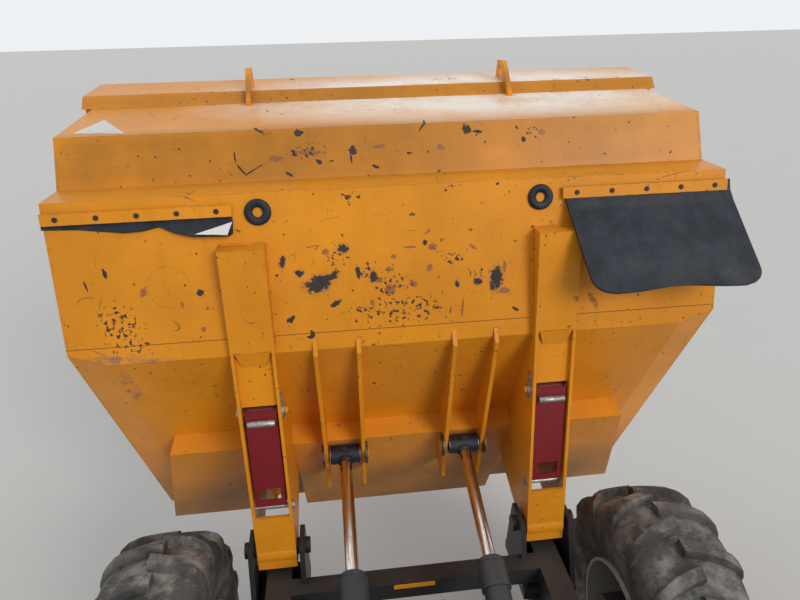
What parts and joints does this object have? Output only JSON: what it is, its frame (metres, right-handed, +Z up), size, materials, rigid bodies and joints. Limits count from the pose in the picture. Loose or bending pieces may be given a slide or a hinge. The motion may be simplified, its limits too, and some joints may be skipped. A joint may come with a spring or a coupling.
{
  "type": "articulated site dumper with forward tipping skip",
  "caption": "Articulated site dumper, skip tipped forward on two rams, folding roll bar, seat and steering column behind, four lugged tyres.",
  "frame": {"origin": "middle of the floor rectangle under the whole machine as it stands, on the ground", "axes": "+X forward, the way it tips; +Y to the left; +Z up"},
  "size_m": [4.679, 2.444, 2.85],
  "materials": {
    "skip_paint": "worn gloss orange-yellow paint",
    "black_paint": "satin black paint with dust",
    "tyre_rubber": "dusty rubber",
    "rim_paint": "pale grey paint",
    "red_paint": "dark red paint",
    "chrome": "hard chrome rod",
    "ram_paint": "dark grey paint",
    "flap_rubber": "rubber sheet",
    "cast": "cast iron",
    "seat_cover": "black vinyl",
    "dash_plastic": "black plastic",
    "beacon_amber": "amber lens",
    "lamp_plastic": "lamp housings"
  },
  "bodies": {
    "front_frame": {"front_chassis": "black_paint", "rest_pads": "flap_rubber", "front_axle": "black_paint"},
    "skip": {"skip_pan": "skip_paint", "skip_side_left": "skip_paint", "skip_side_right": "skip_paint", "skip_lip_box": "skip_paint", "skip_rim": "skip_paint", "ram_brackets": "skip_paint", "lifting_eyes": "skip_paint", "flap_strips": "skip_paint", "skip_arm_left": "skip_paint", "skip_arm_right": "skip_paint", "flap_left": "flap_rubber", "flap_right": "flap_rubber"},
    "rear_frame": {"rear_chassis": "black_paint", "rear_axle": "black_paint", "counterweight": "cast", "platform": "black_paint", "console": "dash_plastic", "seat_box": "black_paint", "seat": "seat_cover", "engine": "cast", "roll_posts": "black_paint", "mudguards": "black_paint", "fuel_tank": "black_paint", "lamps": "lamp_plastic"},
    "bonnet": {"bonnet": "skip_paint"},
    "hoop": {"roll_hoop": "black_paint", "beacon": "beacon_amber"},
    "helm": {"steering_wheel": "dash_plastic"},
    "steering_barrel": {"steering_barrel": "ram_paint"},
    "steering_rod": {"steering_rod": "chrome"},
    "ram_barrel_left": {"ram_barrel_left": "ram_paint"},
    "ram_rod_left": {"ram_rod_left": "chrome"},
    "prop_left": {"prop_left": "red_paint"},
    "front_wheel_left": {"tyre_front_left": "tyre_rubber", "rim_front_left": "rim_paint"},
    "rear_wheel_left": {"tyre_rear_left": "tyre_rubber", "rim_rear_left": "rim_paint"},
    "ram_barrel_right": {"ram_barrel_right": "ram_paint"},
    "ram_rod_right": {"ram_rod_right": "chrome"},
    "prop_right": {"prop_right": "red_paint"},
    "front_wheel_right": {"tyre_front_right": "tyre_rubber", "rim_front_right": "rim_paint"},
    "rear_wheel_right": {"tyre_rear_right": "tyre_rubber", "rim_rear_right": "rim_paint"}
  },
  "joints": [
    {"name": "steer", "type": "hinge", "parent": "front_frame", "child": "rear_frame", "pos_m": [-0.1495, 0, 0.72], "axis": [0, 0, 1], "range_deg": [-35, 35]},
    {"name": "skip_tip", "type": "hinge", "parent": "front_frame", "child": "skip", "pos_m": [1.2105, 0, 0.945], "axis": [0, 1, 0], "range_deg": [-90, 0]},
    {"name": "bonnet_lift", "type": "hinge", "parent": "rear_frame", "child": "bonnet", "pos_m": [-2.2255, 0, 0.906], "axis": [0, -1, 0], "range_deg": [0, 60]},
    {"name": "roll_hoop_fold", "type": "hinge", "parent": "rear_frame", "child": "hoop", "pos_m": [-1.7495, 0, 1.7], "axis": [0, -1, 0], "range_deg": [0, 100]},
    {"name": "helm_turn", "type": "hinge", "parent": "rear_frame", "child": "helm", "pos_m": [-1.1145, 0, 1.5], "axis": [-0.5299, 0, 0.848], "range_deg": [-360, 360]},
    {"name": "steering_barrel_swing", "type": "hinge", "parent": "rear_frame", "child": "steering_barrel", "pos_m": [-0.5995, 0.3, 0.58], "axis": [0, 0, 1], "range_deg": [-20, 20]},
    {"name": "steering_rod_slide", "type": "slide", "parent": "steering_barrel", "child": "steering_rod", "axis": [1, 0, 0], "range_m": [-0.2, 0.2]},
    {"name": "ram_swing_left", "type": "hinge", "parent": "front_frame", "child": "ram_barrel_left", "pos_m": [0.1755, 0.254, 0.825], "axis": [0, -1, 0], "range_deg": [0, 8]},
    {"name": "ram_stroke_left", "type": "slide", "parent": "ram_barrel_left", "child": "ram_rod_left", "axis": [0.9568, 0, 0.2908], "range_m": [-0.48, 0]},
    {"name": "prop_swing_left", "type": "hinge", "parent": "skip", "child": "prop_left", "pos_m": [1.26202, 0.5495, 1.573], "axis": [0, 1, 0], "range_deg": [0, 70]},
    {"name": "front_wheel_left_roll", "type": "hinge", "parent": "front_frame", "child": "front_wheel_left", "pos_m": [0.9905, 0.99, 0.545], "axis": [0, 1, 0], "continuous": true},
    {"name": "rear_wheel_left_roll", "type": "hinge", "parent": "rear_frame", "child": "rear_wheel_left", "pos_m": [-1.3995, 0.99, 0.545], "axis": [0, 1, 0], "continuous": true},
    {"name": "ram_swing_right", "type": "hinge", "parent": "front_frame", "child": "ram_barrel_right", "pos_m": [0.1755, -0.254, 0.825], "axis": [0, -1, 0], "range_deg": [0, 8]},
    {"name": "ram_stroke_right", "type": "slide", "parent": "ram_barrel_right", "child": "ram_rod_right", "axis": [0.9568, 0, 0.2908], "range_m": [-0.48, 0]},
    {"name": "prop_swing_right", "type": "hinge", "parent": "skip", "child": "prop_right", "pos_m": [1.26202, -0.5495, 1.573], "axis": [0, 1, 0], "range_deg": [0, 70]},
    {"name": "front_wheel_right_roll", "type": "hinge", "parent": "front_frame", "child": "front_wheel_right", "pos_m": [0.9905, -0.99, 0.545], "axis": [0, 1, 0], "continuous": true},
    {"name": "rear_wheel_right_roll", "type": "hinge", "parent": "rear_frame", "child": "rear_wheel_right", "pos_m": [-1.3995, -0.99, 0.545], "axis": [0, 1, 0], "continuous": true}
  ],
  "couplings": [
    {"joint": "helm_turn", "follows": "steer", "ratio": 10},
    {"joint": "steering_barrel_swing", "follows": "steer", "ratio": -0.4887},
    {"joint": "steering_rod_slide", "follows": "steer", "m_per_rad": 0.29536},
    {"joint": "ram_swing_left", "follows": "skip_tip", "ratio": -0.077358},
    {"joint": "ram_stroke_left", "follows": "skip_tip", "m_per_rad": 0.29825},
    {"joint": "ram_swing_right", "follows": "skip_tip", "ratio": -0.077358},
    {"joint": "ram_stroke_right", "follows": "skip_tip", "m_per_rad": 0.29825}
  ]
}
